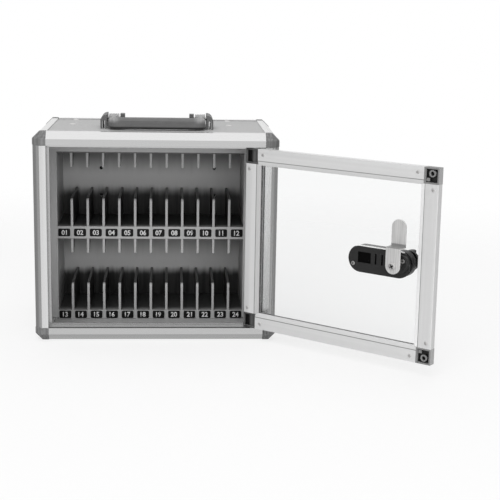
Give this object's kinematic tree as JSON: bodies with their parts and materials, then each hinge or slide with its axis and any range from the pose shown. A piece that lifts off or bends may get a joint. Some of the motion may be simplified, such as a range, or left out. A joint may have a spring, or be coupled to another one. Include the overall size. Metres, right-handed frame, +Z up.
{
  "type": "phone locker box",
  "caption": "Portable phone locker box with an aluminium edge frame, clear hinged door with a combination cam lock, numbered rack slots and a folding carry handle.",
  "frame": {"origin": "on the floor under the middle of the box's footprint, 2 mm below the bottom panel's underside", "axes": "+Z up, -Y out of the door side, +X to the right of someone facing the door side"},
  "size_m": [0.4994, 0.3802, 0.2955],
  "materials": {
    "edge_aluminium": "satin",
    "cap_plastic": "matte",
    "panel_sheet": "matte",
    "bush_plastic": "satin",
    "rivet_aluminium": "satin",
    "rack_enamel": "satin",
    "label_plastic": "satin",
    "handle_plastic": "satin",
    "hub_plastic": "satin",
    "plated_steel": "satin",
    "corner_plastic": "satin",
    "print_white": "matte",
    "clear_acrylic": "clear",
    "gasket_rubber": "matte",
    "lock_plastic": "satin",
    "wheel_plastic": "satin"
  },
  "bodies": {
    "case": {"front_rail_top": "edge_aluminium", "front_rail_bottom": "edge_aluminium", "front_rail_left": "edge_aluminium", "front_rail_right": "edge_aluminium", "rear_rail_top": "edge_aluminium", "rear_rail_bottom": "edge_aluminium", "rear_rail_left": "edge_aluminium", "rear_rail_right": "edge_aluminium", "side_rail_top_left": "edge_aluminium", "side_rail_top_right": "edge_aluminium", "side_rail_bottom_left": "edge_aluminium", "side_rail_bottom_right": "edge_aluminium", "front_corner_caps": "cap_plastic", "rear_corner_caps": "cap_plastic", "top_panel": "panel_sheet", "bottom_panel": "panel_sheet", "left_panel": "panel_sheet", "right_panel": "panel_sheet", "back_panel": "panel_sheet", "pivot_bushes": "bush_plastic", "rack_flange": "rack_enamel", "rack_side_walls": "rack_enamel", "rack_back_plate": "rack_enamel", "rack_ceiling": "rack_enamel", "rack_roof": "rack_enamel", "rack_rivets": "rivet_aluminium", "lower_shelf": "rack_enamel", "upper_shelf": "rack_enamel", "lower_dividers": "rack_enamel", "upper_dividers": "rack_enamel", "lower_guide_tabs": "rack_enamel", "upper_guide_tabs": "rack_enamel", "number_plates": "label_plastic", "handle_brackets": "handle_plastic", "handle_pins": "plated_steel", "handle_bracket_screws": "plated_steel"},
    "door": {"door_stile_hinge": "edge_aluminium", "door_stile_lock": "edge_aluminium", "door_rail_top": "edge_aluminium", "door_rail_bottom": "edge_aluminium", "door_hinge_corners": "corner_plastic", "door_lock_corners": "corner_plastic", "door_pane": "clear_acrylic", "pane_gasket": "gasket_rubber", "door_screws": "plated_steel", "door_pivot_pins": "plated_steel", "lock_back_plate": "lock_plastic", "lock_body": "lock_plastic", "lock_plate_screws": "plated_steel", "lock_wheel_axle": "plated_steel"},
    "latch": {"lock_spindle": "plated_steel", "lock_knob": "lock_plastic", "lock_cam": "plated_steel", "lock_cam_screw": "plated_steel"},
    "handle": {"handle_bail": "handle_plastic", "handle_hubs": "hub_plastic"},
    "wheel_right": {"lock_wheel_right": "wheel_plastic"},
    "wheel_middle": {"lock_wheel_middle": "wheel_plastic"},
    "wheel_left": {"lock_wheel_left": "wheel_plastic"}
  },
  "joints": [
    {"name": "door_hinge", "type": "hinge", "parent": "case", "child": "door", "pos_m": [0.1292, -0.0981, 0.1396], "axis": [0, 0, 1], "range_deg": [-139.8, 1.5]},
    {"name": "latch_turn", "type": "hinge", "parent": "door", "child": "latch", "pos_m": [0.29782, -0.24793, 0.1396], "axis": [0.6455, 0.7638, 0], "range_deg": [0, 90]},
    {"name": "handle_fold", "type": "hinge", "parent": "case", "child": "handle", "pos_m": [0, -0.014, 0.28955], "axis": [-1, 0, 0], "range_deg": [0, 95]},
    {"name": "number_wheel_right_turn", "type": "hinge", "parent": "door", "child": "wheel_right", "pos_m": [0.27207, -0.20915, 0.1396], "axis": [-0.7638, 0.6455, 0], "continuous": true},
    {"name": "number_wheel_middle_turn", "type": "hinge", "parent": "door", "child": "wheel_middle", "pos_m": [0.27894, -0.21496, 0.1396], "axis": [-0.7638, 0.6455, 0], "continuous": true},
    {"name": "number_wheel_left_turn", "type": "hinge", "parent": "door", "child": "wheel_left", "pos_m": [0.28582, -0.22076, 0.1396], "axis": [-0.7638, 0.6455, 0], "continuous": true}
  ]
}
